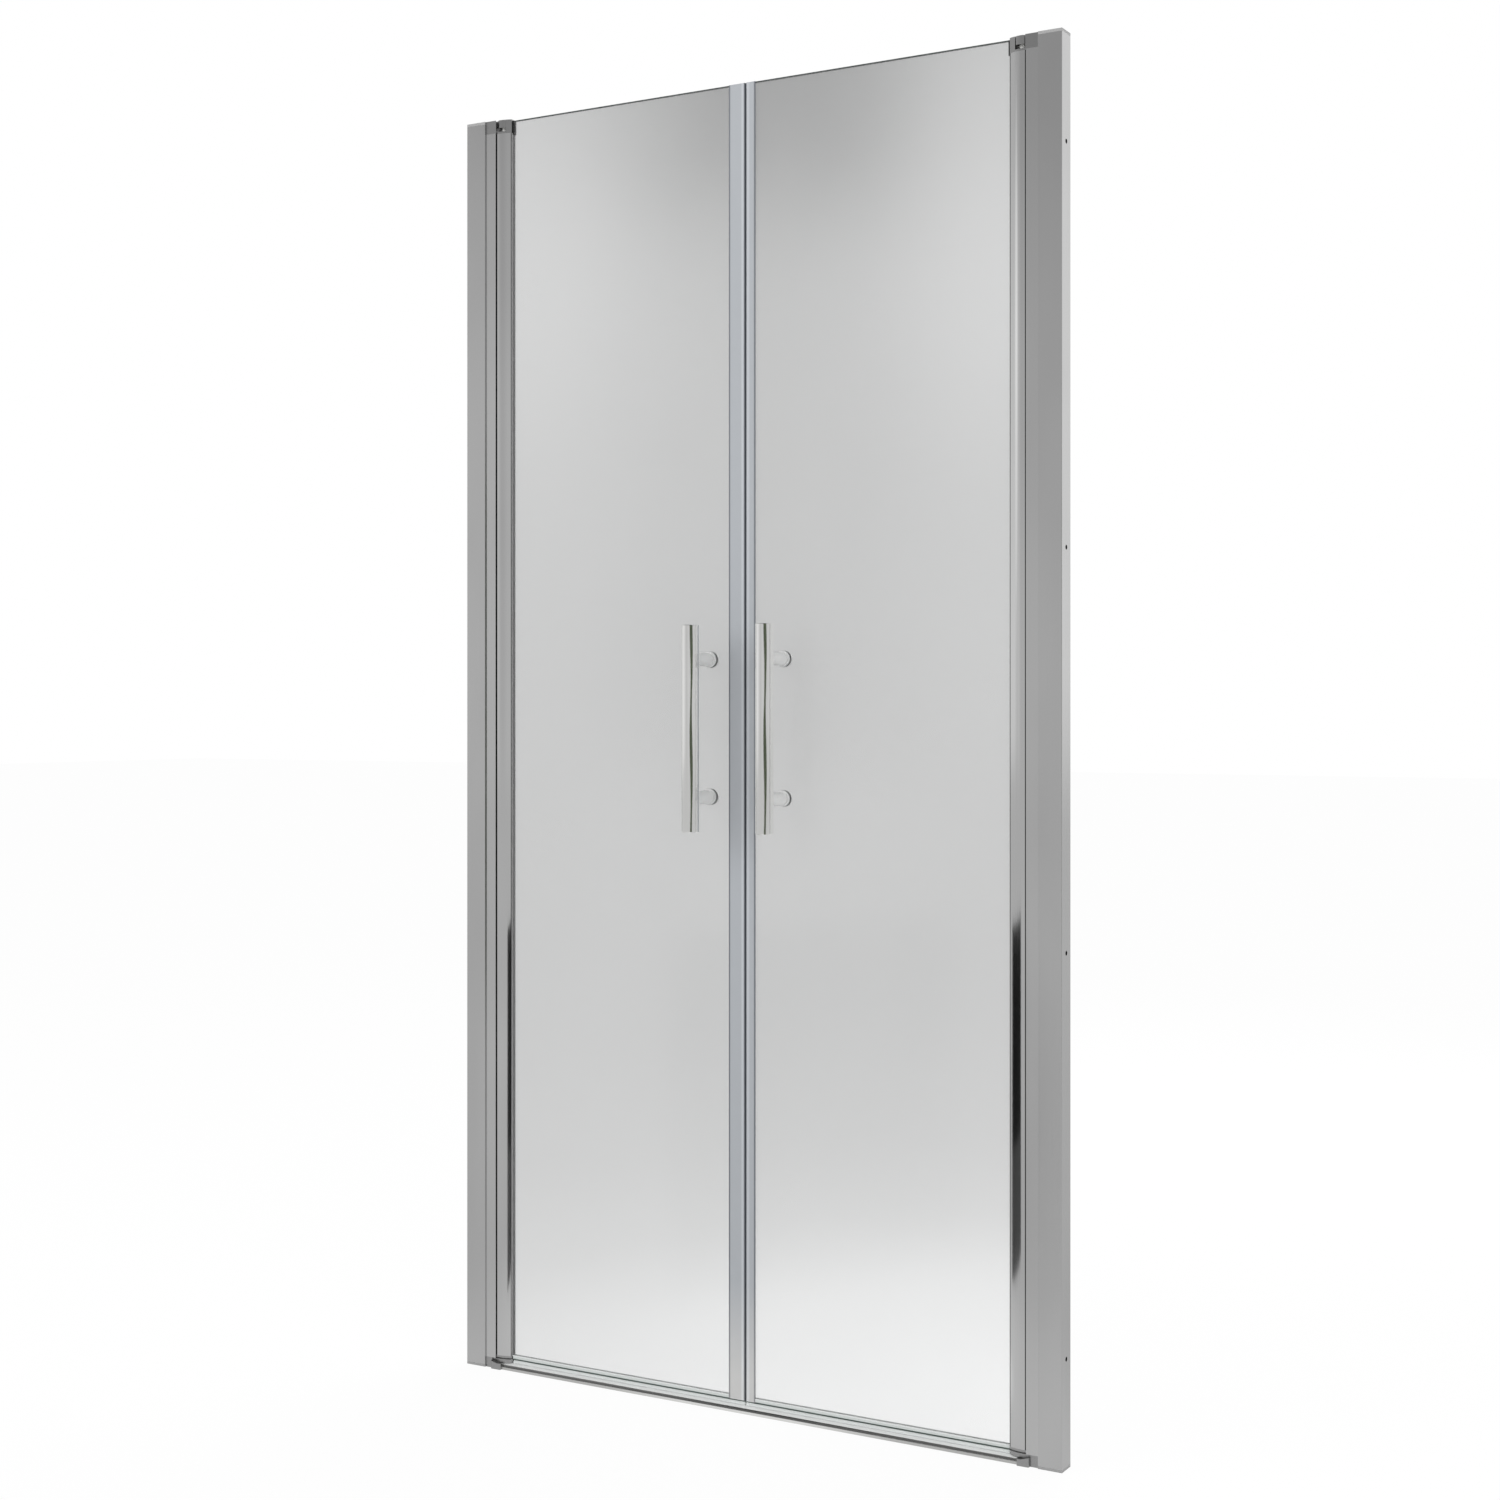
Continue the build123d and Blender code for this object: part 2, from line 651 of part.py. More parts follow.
# Gasket that wedges the glass in the groove
with BuildPart() as gasket:
    with BuildSketch(Plane.XY.offset(profile_bottom)):
        gasket_out = glass_half + seal_fit + gasket_t
        gasket_front = profile_lip_x - gasket_show
        gasket_back = glass_edge + glass_fit / 2
        box_sketch(gasket_front, gasket_back, -gasket_out, gasket_out)
        gasket_in = glass_half + seal_fit
        box_sketch(gasket_front - mouth_cut, gasket_back, -gasket_in, gasket_in, Mode.SUBTRACT)
        rim = gasket_out + gasket_rim
        box_sketch(gasket_front, profile_lip_x - lip_fit, gasket_in, rim)
        box_sketch(gasket_front, profile_lip_x - lip_fit, -rim, -gasket_in)
    extrude(amount=profile_top - profile_bottom)
write_pair(gasket, "glass_gasket")

# Bottom seals: clip over the glass edge; the two lips over the sill run on to the meeting edge
for front_leg, write in ((seal_leg_right, write_right), (seal_leg_left, write_left)):
    with BuildPart() as bottom_seal:
        seal_end = profile_lip_x - gasket_show - face_gap
        seal_start = seal_leg_rear + face_gap
        with BuildSketch(Plane.YZ.offset(seal_start)):
            box_sketch(-leg_out, leg_out, seal_bottom, drip_leg_top)
            box_sketch(-leg_in, leg_in, seal_bottom + drip_web_t, drip_leg_top + mouth_cut, Mode.SUBTRACT)
            drip_fins(seal_bottom)
        extrude(amount=seal_end - seal_start)
        with BuildSketch(Plane.YZ.offset(drip_fin_start)):
            drip_fins(seal_bottom - face_gap)
        extrude(amount=seal_start - drip_fin_start)
        with BuildSketch(Plane.XY.offset(seal_bottom - lip_fit)):
            front_in = glass_half + seal_fit / 2
            box_sketch(seal_start - mouth_cut, front_leg + face_gap, -leg_out - mouth_cut, -front_in)
        extrude(amount=drip_leg_top, mode=Mode.SUBTRACT)
    write(bottom_seal, "bottom_seal")

# Magnet seals on the meeting edges: rounded hollow nose for the magnet, two clip legs
for front_leg, write in ((seal_leg_right, write_right), (seal_leg_left, write_left)):
    with BuildPart() as magnet_seal:
        with BuildSketch(Plane.XY.offset(seal_bottom)):
            box_sketch(seal_gap, front_leg, -leg_out, leg_in)
            box_sketch(seal_gap, seal_leg_rear, -leg_in, leg_out)
            box_sketch(glass_meet - seal_fit, front_leg + mouth_cut, -leg_in, leg_in, Mode.SUBTRACT)
            room = seal_gap + seal_skin
            box_sketch(room, room + magnet_w, -magnet_h / 2, magnet_h / 2, Mode.SUBTRACT)
        extrude(amount=glass_top - seal_bottom)
        nose_edges = magnet_seal.edges().filter_by(Axis.Z).group_by(Axis.X)[0]
        fillet(nose_edges, seal_corner)
    write(magnet_seal, "magnet_seal")

# Magnet strip inside the nose
with BuildPart() as magnet_strip:
    with BuildSketch(Plane.XY.offset(seal_bottom + magnet_end)):
        room = seal_gap + seal_skin
        fit = seal_fit
        box_sketch(room + fit, room + magnet_w - fit, -magnet_h / 2 + fit, magnet_h / 2 - fit)
    extrude(amount=glass_top - seal_bottom - 2 * magnet_end)
write_pair(magnet_strip, "magnet_strip")

# Handle bar: round tube
with BuildPart() as handle_bar:
    with BuildSketch(Plane.XY.offset(bar_mid_z - bar_len / 2)):
        with Locations((stand_x, -bar_y)):
            Circle(bar_d / 2)
            Circle(bar_d / 2 - bar_wall, mode=Mode.SUBTRACT)
    extrude(amount=bar_len)
    rims = handle_bar.edges().filter_by(GeomType.CIRCLE).group_by(SortBy.LENGTH)[-1]
    chamfer(rims, bar_round)
write_pair(handle_bar, "handle_bar")

# End plugs pressed in the bar
with BuildPart() as handle_plugs:
    for low in (bar_mid_z - bar_len / 2, bar_mid_z + bar_len / 2 - plug_t):
        with BuildSketch(Plane.XY.offset(low)):
            with Locations((stand_x, -bar_y)):
                Circle(bar_d / 2 - bar_wall - saddle_fit)
        extrude(amount=plug_t)
write_pair(handle_plugs, "handle_plugs")

# Standoffs: base disc, neck and body, coped to the bar
with BuildPart() as standoffs:
    for z in stand_z:
        seat = Plane(origin=(stand_x, pad_front, z), z_dir=(0, -1, 0))
        with BuildSketch(seat):
            Circle(base_d / 2)
        extrude(amount=base_t)
        with BuildSketch(seat):
            Circle(neck_d / 2)
        extrude(amount=base_t + neck_len)
        with BuildSketch(seat.offset(base_t + neck_len)):
            Circle(stand_d / 2)
        extrude(amount=bar_y + pad_front - bar_d / 4 - base_t - neck_len)
        with BuildSketch(seat):
            Circle((handle_screw_d + 2 * saddle_fit) / 2)
        extrude(amount=handle_screw_len, mode=Mode.SUBTRACT)
    with BuildSketch(Plane.XY.offset(bar_mid_z - bar_len / 2)):
        with Locations((stand_x, -bar_y)):
            Circle(bar_d / 2 + saddle_fit)
    extrude(amount=bar_len, mode=Mode.SUBTRACT)
write_pair(standoffs, "handle_standoffs")

# Clear pads on both faces of the glass
with BuildPart() as pads:
    for z in stand_z:
        for y, face in ((-glass_half, -1), (glass_half, 1)):
            with BuildSketch(Plane(origin=(stand_x, y, z), z_dir=(0, face, 0))):
                Circle(pad_d / 2)
                Circle(handle_screw_d / 2 + hole_fit, mode=Mode.SUBTRACT)
            extrude(amount=pad_t)
write_pair(pads, "handle_pads")

# Screws from the inner side into the standoffs
with BuildPart() as handle_screws:
    for z in stand_z:
        seat = Plane(origin=(stand_x, glass_half + pad_t, z), z_dir=(0, 1, 0))
        with BuildSketch(seat):
            Circle(handle_head_d / 2)
        extrude(amount=handle_head_t)
        with BuildSketch(seat):
            Circle(handle_screw_d / 2)
        extrude(amount=-(glass_t + 2 * pad_t + handle_screw_len - screw_tip_room))
        with BuildSketch(seat.offset(handle_head_t)):
            RegularPolygon(handle_hex / 2, 6, major_radius=False)
        extrude(amount=-handle_hex_deep, mode=Mode.SUBTRACT)
write_pair(handle_screws, "handle_screws")

# Rear caps over the screw heads
with BuildPart() as rear_caps:
    for z in stand_z:
        seat = Plane(origin=(stand_x, glass_half + pad_t, z), z_dir=(0, 1, 0))
        with BuildSketch(seat):
            Circle(base_d / 2)
        extrude(amount=rear_cap_t)
        with BuildSketch(seat):
            Circle(handle_head_d / 2 + rear_cap_fit)
        extrude(amount=handle_head_t + rear_cap_fit, mode=Mode.SUBTRACT)
    chamfer(rear_caps.faces().filter_by(Axis.Y).group_by(Axis.Y)[-1].edges(), rear_cap_edge)
write_pair(rear_caps, "handle_rear_caps")
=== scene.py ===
import math

import bmesh
import bpy
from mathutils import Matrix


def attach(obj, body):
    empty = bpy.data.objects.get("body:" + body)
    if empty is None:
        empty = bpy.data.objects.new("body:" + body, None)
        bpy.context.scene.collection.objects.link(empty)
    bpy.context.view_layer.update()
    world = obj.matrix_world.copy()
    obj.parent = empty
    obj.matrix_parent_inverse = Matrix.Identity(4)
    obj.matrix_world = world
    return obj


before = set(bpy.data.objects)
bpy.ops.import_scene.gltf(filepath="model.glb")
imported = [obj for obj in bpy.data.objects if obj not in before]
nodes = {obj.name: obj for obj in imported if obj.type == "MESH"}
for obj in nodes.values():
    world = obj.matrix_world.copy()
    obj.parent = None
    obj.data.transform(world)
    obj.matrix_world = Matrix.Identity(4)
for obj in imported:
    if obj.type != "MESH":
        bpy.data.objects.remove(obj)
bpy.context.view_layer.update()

# Near-black blocks at the corners of the upper cap's slot, painted shade for the dark gap there, in
# metres
corner_x = 0.4172
corner_w = 0.0066
corner_y = 0.0031
corner_t = 0.0012
corner_h = 0.0215
corner_top = 1.948

# World: its light on matt pieces by height, and its tones in metal and glass by the height
# and heading of a ray
world_light = ((0.4, 1), (0.8, 0.78))
front_steps = ((0, 0.72), (0.1, 0.7), (0.28, 0.52), (0.6, 0.24), (1, 0.12))
front_sides = ((0.1, 1), (0.2, 1), (0.3, 0.8), (0.38, 0.86), (0.5, 0.72), (0.7, 0.7), (1, 0.78))
rear_steps = ((0, 0.8), (0.5, 0.85), (0.9, 0.5), (1, 0.2))
rear_blend = ((0.05, 0), (0.25, 1))
through_steps = (
    (0, 0.61),
    (0.1, 0.63),
    (0.14, 0.68),
    (0.17, 0.71),
    (0.2, 0.72),
    (0.225, 0.7),
    (0.26, 0.64),
    (0.3, 0.56),
)
patch_heading = (-0.494, 0.8695, 0)
patch_steps = ((0.9989, 0), (0.99995, 1))
patch_heights = (
    (0.08, 0.12),
    (0.14, 0.25),
    (0.17, 0.28),
    (0.2, 0.31),
    (0.225, 0.5),
    (0.245, 0.68),
)
patch_tone = 0.12
window_heading = (-0.722, -0.674, 0.156)
window_steps = ((0.9925, 0), (0.9985, 1))
window_tone = 0.95

# Boards that the metal mirrors, in metres: a dark one, and a tall one with waving edges
board_near = (-0.43, -0.47)
board_far = (-0.13, -1.02)
board_low = 0.0
board_high = 0.64
board_grey_below = 0.25
board_blend = 0.02
screen_heading = (0.61, -0.79)
screen_away = 2.2
screen_half = 0.56
screen_wave = 0.3
screen_waves = 21
screen_phases = (0.4, 2.1)
screen_steps = 56
screen_low = 0.3
screen_high = 1.7

# Places on the door that its finishes follow, in metres; a leaf's painted shade lines are (from, to,
# tone)
glass_top = 1.9485
glass_band = 0.0016
glass_band_blend = 0.0003
sill_shoulder = 0.0074
# Painted shade: dark lines on the leaf where its round back turns into the post and along its lip edge
leaf_painted_shade_lines = ((0.4442, 0.447, 0.03), (0.4201, 0.4212, 0.12))
seal_pale_below = 0.05
seal_grey_above = 0.19
line_blend = 0.0002

# Floor: its own look, and its tones in glass and metal by the distance from a spot, as a
# share of the reach
floor_half = 30
floor_lit = 0.85
floor_white_share = 0.95
floor_reach = 5.0
glass_spot = (0.6, 0.2, 0)
glass_floor = ((0.05, 1), (0.18, 0.89), (0.28, 0.72), (0.42, 0.64), (0.75, 0.6))
metal_spot = (0, 0, 0)
metal_floor = ((0.02, 0.95), (0.05, 0.62), (0.2, 0.46), (0.6, 0.52))

# Camera, read from the photograph's perspective: metres, degrees, pixels of a picture 1500
# pixels wide, and the sensor in millimetres
camera_place = (1.62697, -2.81119, 1.03417)
camera_heading = 29.979
picture_width = 1500
picture_middle = 750
horizon_row = 706.5
focal_pixels = 2213.3
sensor_width = 36


# Helpers for node trees and meshes

def new_finish(name):
    """A material with an empty tree but for its output and one Principled shader."""
    mat = bpy.data.materials.new(name)
    mat.use_nodes = True
    tree = mat.node_tree
    tree.nodes.clear()
    out = tree.nodes.new("ShaderNodeOutputMaterial")
    shader = tree.nodes.new("ShaderNodeBsdfPrincipled")
    tree.links.new(shader.outputs["BSDF"], out.inputs["Surface"])
    return mat, tree, shader


def object_coordinates(tree, scale):
    """Object coordinates stretched by a scale along each axis."""
    coords = tree.nodes.new("ShaderNodeTexCoord")
    mapping = tree.nodes.new("ShaderNodeMapping")
    mapping.inputs["Scale"].default_value = scale
    tree.links.new(coords.outputs["Object"], mapping.inputs["Vector"])
    return mapping.outputs["Vector"]


def noise(tree, scale, detail=2):
    """A noise value over stretched object coordinates."""
    node = tree.nodes.new("ShaderNodeTexNoise")
    node.inputs["Scale"].default_value = 1
    node.inputs["Detail"].default_value = detail
    tree.links.new(object_coordinates(tree, scale), node.inputs["Vector"])
    return node.outputs["Fac"]


def spread(tree, value, low, high):
    """A noise value spread over low..high."""
    node = tree.nodes.new("ShaderNodeMapRange")
    node.inputs["From Min"].default_value = 0.3
    node.inputs["From Max"].default_value = 0.7
    node.inputs["To Min"].default_value = low
    node.inputs["To Max"].default_value = high
    tree.links.new(value, node.inputs["Value"])
    return node.outputs["Result"]


def ramp_through(tree, value, stops):
    """A colour that runs through stops of (position, colour) with a value."""
    ramp = tree.nodes.new("ShaderNodeValToRGB")
    marks = ramp.color_ramp.elements
    while len(marks) < len(stops):
        marks.new(1)
    for mark, (position, colour) in zip(marks, stops):
        mark.position = position
        mark.color = (*colour, 1)
    tree.links.new(value, ramp.inputs["Fac"])
    return ramp.outputs["Color"]


def two_tones(tree, value, dark, light):
    """A colour that runs from dark to light with a noise value."""
    return ramp_through(tree, value, ((0.35, dark), (0.65, light)))


def grey(tone):
    """An even grey."""
    return (tone, tone, tone)


def grey_steps(tree, value, steps):
    """A grey that runs through steps of (position, tone) with a value."""
    return ramp_through(tree, value, [(position, grey(tone)) for position, tone in steps])


def bump(tree, shader, height, strength, distance):
    """A bump from a height value."""
    node = tree.nodes.new("ShaderNodeBump")
    node.inputs["Strength"].default_value = strength
    node.inputs["Distance"].default_value = distance
    tree.links.new(height, node.inputs["Height"])
    tree.links.new(node.outputs["Normal"], shader.inputs["Normal"])


def maths(tree, operation, first, second):
    """A maths node over two values, each a socket or a number."""
    node = tree.nodes.new("ShaderNodeMath")
    node.operation = operation
    for slot, value in zip(node.inputs, (first, second)):
        if isinstance(value, float):
            slot.default_value = value
        else:
            tree.links.new(value, slot)
    return node.outputs[0]


def mixed(tree, share, first, second):
    """Two colours mixed by a share."""
    node = tree.nodes.new("ShaderNodeMix")
    node.data_type = "RGBA"
    tree.links.new(share, node.inputs["Factor"])
    tree.links.new(first, node.inputs["A"])
    tree.links.new(second, node.inputs["B"])
    return node.outputs["Result"]


def plain(tree, tone):
    """One even colour."""
    node = tree.nodes.new("ShaderNodeRGB")
    node.outputs[0].default_value = (*tone, 1)
    return node.outputs[0]


def along_axis(tree, kind, axis):
    """One axis of a kind of coordinates, such as Object or Normal."""
    coords = tree.nodes.new("ShaderNodeTexCoord")
    split = tree.nodes.new("ShaderNodeSeparateXYZ")
    tree.links.new(coords.outputs[kind], split.inputs["Vector"])
    return split.outputs[axis]


def place_along(tree, axis):
    """Place along one axis of the piece itself, in metres."""
    return along_axis(tree, "Object", axis)


def rising(tree, value, low, high):
    """0 up to the low value, 1 from the high value on, and an even rise between."""
    node = tree.nodes.new("ShaderNodeMapRange")
    node.inputs["From Min"].default_value = low
    node.inputs["From Max"].default_value = high
    tree.links.new(value, node.inputs["Value"])
    return node.outputs["Result"]


def strip_tones(tree, axis, marks):
    """A colour by place along an axis of the piece itself, through marks of (metres, colour)."""
    low = marks[0][0]
    high = marks[-1][0]
    share = rising(tree, place_along(tree, axis), low, high)
    stops = [((place - low) / (high - low), colour) for place, colour in marks]
    return ramp_through(tree, share, stops)


def vector_maths(tree, operation, vector, other=None):
    """A vector maths node over a linked vector and, where the operation takes one, a fixed one."""
    node = tree.nodes.new("ShaderNodeVectorMath")
    node.operation = operation
    tree.links.new(vector, node.inputs[0])
    if other:
        node.inputs[1].default_value = other
    return node


def place_mesh(bm, name):
    """A finished bmesh as a named object in the scene."""
    mesh = bpy.data.meshes.new(name)
    bm.to_mesh(mesh)
    bm.free()
    piece = bpy.data.objects.new(name, mesh)
    bpy.context.scene.collection.objects.link(piece)
    return piece


# Finishes

def bright_extrusion(name, dark, light, rough, painted_shade_lines=()):
    """Polished aluminium with faint die lines along its length, and lines of painted shade along it."""
    mat, tree, shader = new_finish(name)
    shader.inputs["Metallic"].default_value = 1.0
    lines = noise(tree, (900, 900, 1.5))
    soft = noise(tree, (6, 6, 2.5))
    tone = two_tones(tree, soft, dark, light)
    # Painted shade: each line darkens the base colour between two distances across the piece
    for start, end, shade_tone in painted_shade_lines:
        across = maths(tree, "ABSOLUTE", place_along(tree, "X"), 0.0)
        inner = rising(tree, across, start, start + line_blend)
        outer = rising(tree, across, end, end + line_blend)
        tone = mixed(tree, maths(tree, "SUBTRACT", inner, outer), tone, plain(tree, grey(shade_tone)))
    tree.links.new(tone, shader.inputs["Base Color"])
    tree.links.new(spread(tree, lines, rough * 0.85, rough * 1.2), shader.inputs["Roughness"])
    bump(tree, shader, lines, 0.04, 0.0002)
    return mat


def sill_extrusion():
    """Aluminium of the sill: polished front, and a matt pale ramp and crest."""
    mat, tree, shader = new_finish("sill_extrusion")
    height = place_along(tree, "Z")
    ramp = rising(tree, height, sill_shoulder - line_blend, sill_shoulder + line_blend)
    polished = plain(tree, (0.7, 0.7, 0.69))
    matt = plain(tree, (0.86, 0.87, 0.865))
    tree.links.new(mixed(tree, ramp, polished, matt), shader.inputs["Base Color"])
    metal = maths(tree, "SUBTRACT", 1.0, maths(tree, "MULTIPLY", ramp, 0.85))
    tree.links.new(metal, shader.inputs["Metallic"])
    lines = noise(tree, (1.5, 900, 900))
    shine = spread(tree, lines, 0.16, 0.24)
    rough = maths(tree, "ADD", shine, maths(tree, "MULTIPLY", ramp, 0.3))
    tree.links.new(rough, shader.inputs["Roughness"])
    bump(tree, shader, lines, 0.04, 0.0002)
    return mat


def plated_casting():
    """Satin grey plating of the pivot blocks and caps, with a very fine cast grain."""
    mat, tree, shader = new_finish("plated_casting")
    shader.inputs["Metallic"].default_value = 1.0
    grain = noise(tree, (1400, 1400, 1400), detail=3)
    tree.links.new(two_tones(tree, grain, grey(0.44), grey(0.5)), shader.inputs["Base Color"])
    tree.links.new(spread(tree, grain, 0.26, 0.36), shader.inputs["Roughness"])
    bump(tree, shader, grain, 0.05, 0.0001)
    return mat


def moulded(name, dark, light, rough, size=900):
    """Moulded plastic with a fine even grain."""
    mat, tree, shader = new_finish(name)
    grain = noise(tree, (size, size, size))
    tree.links.new(two_tones(tree, grain, dark, light), shader.inputs["Base Color"])
    tree.links.new(spread(tree, grain, rough * 0.9, rough * 1.15), shader.inputs["Roughness"])
    bump(tree, shader, grain, 0.06, 0.0001)
    return mat


def turned_steel():
    """Stainless steel with turning marks."""
    mat, tree, shader = new_finish("turned_steel")
    shader.inputs["Metallic"].default_value = 1.0
    marks = noise(tree, (300, 300, 2500))
    tree.links.new(two_tones(tree, marks, grey(0.5), grey(0.62)), shader.inputs["Base Color"])
    tree.links.new(spread(tree, marks, 0.25, 0.38), shader.inputs["Roughness"])
    return mat


def mirror_chrome():
    """Chrome of the bar handles: bright, with the slight unevenness of hand polishing."""
    mat, tree, shader = new_finish("mirror_chrome")
    shader.inputs["Metallic"].default_value = 1.0
    polish = noise(tree, (14, 14, 5))
    fine = noise(tree, (700, 700, 700))
    tone = two_tones(tree, polish, (0.93, 0.93, 0.915), (0.98, 0.98, 0.97))
    tree.links.new(tone, shader.inputs["Base Color"])
    tree.links.new(spread(tree, fine, 0.06, 0.1), shader.inputs["Roughness"])
    bump(tree, shader, polish, 0.2, 0.002)
    return mat


def satin_chrome():
    """Satin finish of the standoffs and rear caps, brushed round to a soft pale sheen."""
    mat, tree, shader = new_finish("satin_chrome")
    shader.inputs["Metallic"].default_value = 0.2
    marks = noise(tree, (500, 1800, 500))
    tone = two_tones(tree, marks, (0.78, 0.785, 0.78), (0.84, 0.845, 0.84))
    tree.links.new(tone, shader.inputs["Base Color"])
    tree.links.new(spread(tree, marks, 0.45, 0.55), shader.inputs["Roughness"])
    bump(tree, shader, marks, 0.05, 0.0002)
    return mat


def glass_face_share(tree):
    """1 on the glass's two faces, 0 on its ground edges and on the thin band under the upper one."""
    facing = maths(tree, "ABSOLUTE", along_axis(tree, "Normal", "Y"), 0.0)
    face = rising(tree, facing, 0.8, 0.95)
    band_start = glass_top - glass_band
    band = rising(tree, place_along(tree, "Z"), band_start, band_start + glass_band_blend)
    return maths(tree, "MULTIPLY", face, maths(tree, "SUBTRACT", 1.0, band))


def safety_glass():
    """Safety glass: a lightly etched clear face, and a dark green ground edge."""
    mat, tree, shader = new_finish("safety_glass")
    shader.inputs["IOR"].default_value = 1.5
    face_share = glass_face_share(tree)
    cloud = noise(tree, (3.2, 3.2, 2.4))
    etched = two_tones(tree, cloud, (0.95, 0.955, 0.955), (0.965, 0.97, 0.97))
    green = plain(tree, (0.014, 0.024, 0.02))
    tree.links.new(mixed(tree, face_share, green, etched), shader.inputs["Base Color"])
    clear = maths(tree, "MULTIPLY", face_share, 0.93)
    tree.links.new(clear, shader.inputs["Transmission Weight"])
    tree.links.new(spread(tree, cloud, 0.14, 0.18), shader.inputs["Roughness"])
    return mat


def clear_strip():
    """Clear flexible strip of the bottom seals: pale, with a greener web and painted light along the
    leg's top edge.
    """
    mat, tree, shader = new_finish("clear_strip")
    shader.inputs["IOR"].default_value = 1.45
    shader.inputs["Transmission Weight"].default_value = 0.3
    pale = (0.88, 0.91, 0.9)
    green = (0.1, 0.14, 0.125)
    leg = (0.8, 0.84, 0.825)
    # Painted light: the leg's top edge is painted paler, lifting the shade on it
    edge = (0.96, 0.98, 0.97)
    marks = (
        (0.0095, pale),
        (0.0137, pale),
        (0.0145, green),
        (0.0164, green),
        (0.0176, leg),
        (0.0199, leg),
        (0.021, edge),
        (0.022, edge),
    )
    tree.links.new(strip_tones(tree, "Z", marks), shader.inputs["Base Color"])
    lines = noise(tree, (1.5, 700, 700))
    tree.links.new(spread(tree, lines, 0.18, 0.3), shader.inputs["Roughness"])
    bump(tree, shader, lines, 0.04, 0.0001)
    return mat


def seal_tones(tree, flat, painted_highlight, rim_shade, gap_shade):
    """Tones across the meeting edges: painted shade at the rims, flat legs, painted highlights on the
    bends and a dark line of painted shade at the gap.
    """
    # Painted highlight on the bends; painted shade at both ends and at the gap between the noses
    marks = (
        (-0.028, rim_shade),
        (-0.0262, rim_shade),
        (-0.0252, flat),
        (-0.0075, flat),
        (-0.006, painted_highlight),
        (-0.0032, painted_highlight),
        (-0.0018, gap_shade),
        (0.0012, gap_shade),
        (0.0024, painted_highlight),
        (0.006, painted_highlight),
        (0.0075, flat),
        (0.014, flat),
        (0.0149, rim_shade),
        (0.0165, rim_shade),
    )
    return strip_tones(tree, "X", marks)


def seal_strip():
    """Bluish grey translucent strip of the meeting edges, paler towards its lower end, with painted
    highlights and painted shade across it.
    """
    mat, tree, shader = new_finish("seal_strip")
    shader.inputs["IOR"].default_value = 1.5
    shader.inputs["Transmission Weight"].default_value = 0.08
    low = seal_tones(
        tree,
        flat=(0.57, 0.57, 0.565),
        painted_highlight=(0.66, 0.67, 0.68),
        rim_shade=(0.27, 0.27, 0.28),
        gap_shade=(0.12, 0.128, 0.14),
    )
    high = seal_tones(
        tree,
        flat=(0.4, 0.42, 0.445),
        painted_highlight=(0.48, 0.5, 0.53),
        rim_shade=(0.17, 0.18, 0.2),
        gap_shade=(0.1, 0.11, 0.125),
    )
    up = rising(tree, place_along(tree, "Z"), seal_pale_below, seal_grey_above)
    tree.links.new(mixed(tree, up, low, high), shader.inputs["Base Color"])
    lines = noise(tree, (900, 900, 1.2))
    tree.links.new(spread(tree, lines, 0.28, 0.4), shader.inputs["Roughness"])
    bump(tree, shader, lines, 0.05, 0.0001)
    return mat


def clear_pad():
    """Milky clear pads between the handle and the glass."""
    mat, tree, shader = new_finish("clear_pad")
    shader.inputs["IOR"].default_value = 1.49
    shader.inputs["Transmission Weight"].default_value = 0.4
    grain = noise(tree, (800, 800, 800))
    tone = two_tones(tree, grain, (0.72, 0.74, 0.74), (0.8, 0.82, 0.82))
    tree.links.new(tone, shader.inputs["Base Color"])
    tree.links.new(spread(tree, grain, 0.08, 0.14), shader.inputs["Roughness"])
    return mat


# Each finish, and the pieces that have it
finished_pieces = (
    (bright_extrusion("channel_extrusion", grey(0.66), grey(0.72), 0.22), ("wall_channel",)),
    (bright_extrusion("post_extrusion", grey(0.68), grey(0.74), 0.18), ("hinge_post",)),
    (bright_extrusion("leaf_extrusion", grey(0.7), grey(0.76), 0.1, leaf_painted_shade_lines), ("leaf_profile",)),
    (sill_extrusion(), ("sill_rail",)),
    (
        plated_casting(),
        ("upper_pivot_block", "lower_pivot_block", "leaf_upper_cap", "leaf_lower_cap", "sill_end_cap"),
    ),
    (moulded("silver_moulding", grey(0.3), grey(0.35), 0.35), ("channel_cap", "channel_foot")),
    (
        moulded("bearing_plastic", (0.72, 0.72, 0.7), (0.8, 0.8, 0.78), 0.45),
        ("pivot_collar", "thrust_washer", "pivot_bushes"),
    ),
    (moulded("cover_moulding", grey(0.55), grey(0.6), 0.3), ("clamp_screw_covers",)),
    (moulded("gasket_rubber", grey(0.3), grey(0.35), 0.5, 500), ("glass_gasket",)),
    (moulded("magnet_strip", grey(0.05), grey(0.08), 0.6, 400), ("magnet_strip",)),
    (
        turned_steel(),
        ("block_screws", "pivot_pins", "clamp_screws", "leaf_cap_screws", "handle_screws"),
    ),
    (mirror_chrome(), ("handle_bar", "handle_plugs")),
    (satin_chrome(), ("handle_standoffs", "handle_rear_caps")),
    (safety_glass(), ("glass",)),
    (clear_strip(), ("bottom_seal",)),
    (seal_strip(), ("magnet_seal",)),
    (clear_pad(), ("handle_pads",)),
)
finish_of = {piece: finish for finish, pieces in finished_pieces for piece in pieces}

for name, obj in nodes.items():
    obj.data.materials.clear()
    obj.data.materials.append(finish_of[name.removeprefix("left_").removeprefix("right_")])


# Near-black blocks at the upper cap's slot on both faces of the glass: painted shade standing in for the
# dark gap in the slot

# Painted shade: a near-black finish for the blocks in the slot
slot_shade_block = moulded("slot_shade_block", grey(0.012), grey(0.02), 0.6, 500)


